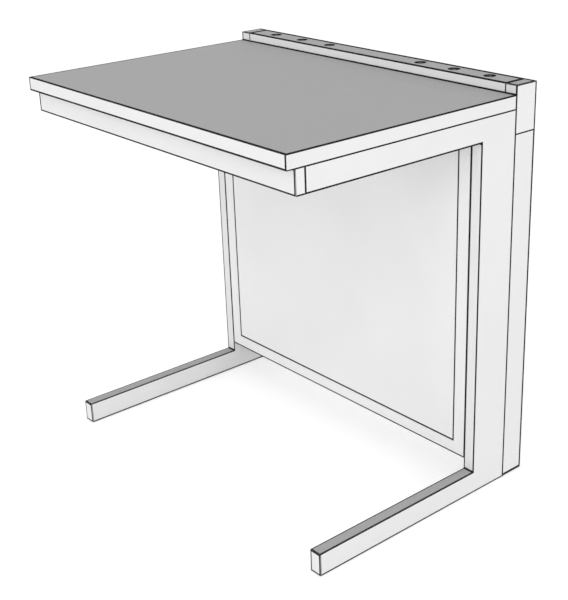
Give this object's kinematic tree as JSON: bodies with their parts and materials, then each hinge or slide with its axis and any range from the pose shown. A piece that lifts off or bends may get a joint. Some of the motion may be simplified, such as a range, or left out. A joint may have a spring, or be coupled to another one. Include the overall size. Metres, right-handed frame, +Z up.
{
  "type": "wall lab bench",
  "caption": "Wall laboratory bench with a laminated worktop on C-shaped steel frames, a ported service rail behind it and a pull-off rear panel.",
  "frame": {"origin": "on the floor, under the middle of the bench's outer box", "axes": "+X to the right of a person at the bench, +Y towards the wall, +Z up"},
  "size_m": [0.9, 0.66, 0.9],
  "materials": {
    "frame_paint": "light grey powder coat",
    "light_plastic": "light grey moulded plastic",
    "grey_plastic": "mid grey moulded plastic, fine grain",
    "plate_paint": "mid grey powder coat",
    "laminate": "mid grey high-pressure laminate, dark at its cut edge",
    "backing": "pale backing laminate",
    "edge_band": "light grey edge band",
    "particle_board": "raw particle board",
    "panel_lacquer": "fibreboard, light grey lacquer",
    "black_rubber": "black seal",
    "bracket_steel": "grey powder coat",
    "plated_steel": "zinc plated",
    "pad_plastic": "black nylon, dull"
  },
  "bodies": {
    "frame": {"apron_brackets": "bracket_steel", "apron_caps": "light_plastic", "catch_brackets": "bracket_steel", "catch_sockets": "light_plastic", "foot_caps": "light_plastic", "frame_screws": "plated_steel", "front_apron": "frame_paint", "front_edge_band": "edge_band", "left_arm_tube": "frame_paint", "left_edge_band": "edge_band", "left_end_block": "light_plastic", "left_end_cover": "grey_plastic", "left_foot_tread": "grey_plastic", "left_foot_tube": "frame_paint", "left_rear_post": "frame_paint", "left_upright_tube": "frame_paint", "leveller_inserts": "plated_steel", "lower_cross_rail": "frame_paint", "lower_rail_brackets": "bracket_steel", "port_ferrules": "light_plastic", "port_rings": "black_rubber", "post_bolts": "plated_steel", "post_caps": "light_plastic", "post_plugs": "light_plastic", "rail_back": "frame_paint", "rail_fascia": "frame_paint", "rail_port_plate": "plate_paint", "rail_screws": "plated_steel", "rear_edge_band": "edge_band", "right_arm_tube": "frame_paint", "right_edge_band": "edge_band", "right_end_block": "light_plastic", "right_end_cover": "grey_plastic", "right_foot_tread": "grey_plastic", "right_foot_tube": "frame_paint", "right_rear_post": "frame_paint", "right_upright_tube": "frame_paint", "upper_cross_rail": "frame_paint", "upper_rail_brackets": "bracket_steel", "wall_bar": "bracket_steel", "worktop_backing": "backing", "worktop_brackets": "bracket_steel", "worktop_core": "particle_board", "worktop_laminate": "laminate", "worktop_screws": "plated_steel"},
    "rear_panel": {"panel_frame": "panel_lacquer", "panel_infill": "panel_lacquer", "panel_gasket": "black_rubber", "panel_studs": "plated_steel"},
    "front_left_leveller": {"front_left_leveller_pad": "pad_plastic", "front_left_leveller_spindle": "plated_steel"},
    "front_right_leveller": {"front_right_leveller_pad": "pad_plastic", "front_right_leveller_spindle": "plated_steel"},
    "rear_left_leveller": {"rear_left_leveller_pad": "pad_plastic", "rear_left_leveller_spindle": "plated_steel"},
    "rear_right_leveller": {"rear_right_leveller_pad": "pad_plastic", "rear_right_leveller_spindle": "plated_steel"}
  },
  "joints": [
    {"name": "panel_pull", "type": "slide", "parent": "frame", "child": "rear_panel", "axis": [0, -1, 0], "range_m": [0, 0.55]},
    {"name": "front_left_level", "type": "slide", "parent": "frame", "child": "front_left_leveller", "axis": [0, 0, -1], "range_m": [0, 0.015]},
    {"name": "front_right_level", "type": "slide", "parent": "frame", "child": "front_right_leveller", "axis": [0, 0, -1], "range_m": [0, 0.015]},
    {"name": "rear_left_level", "type": "slide", "parent": "frame", "child": "rear_left_leveller", "axis": [0, 0, -1], "range_m": [0, 0.015]},
    {"name": "rear_right_level", "type": "slide", "parent": "frame", "child": "rear_right_leveller", "axis": [0, 0, -1], "range_m": [0, 0.015]}
  ]
}
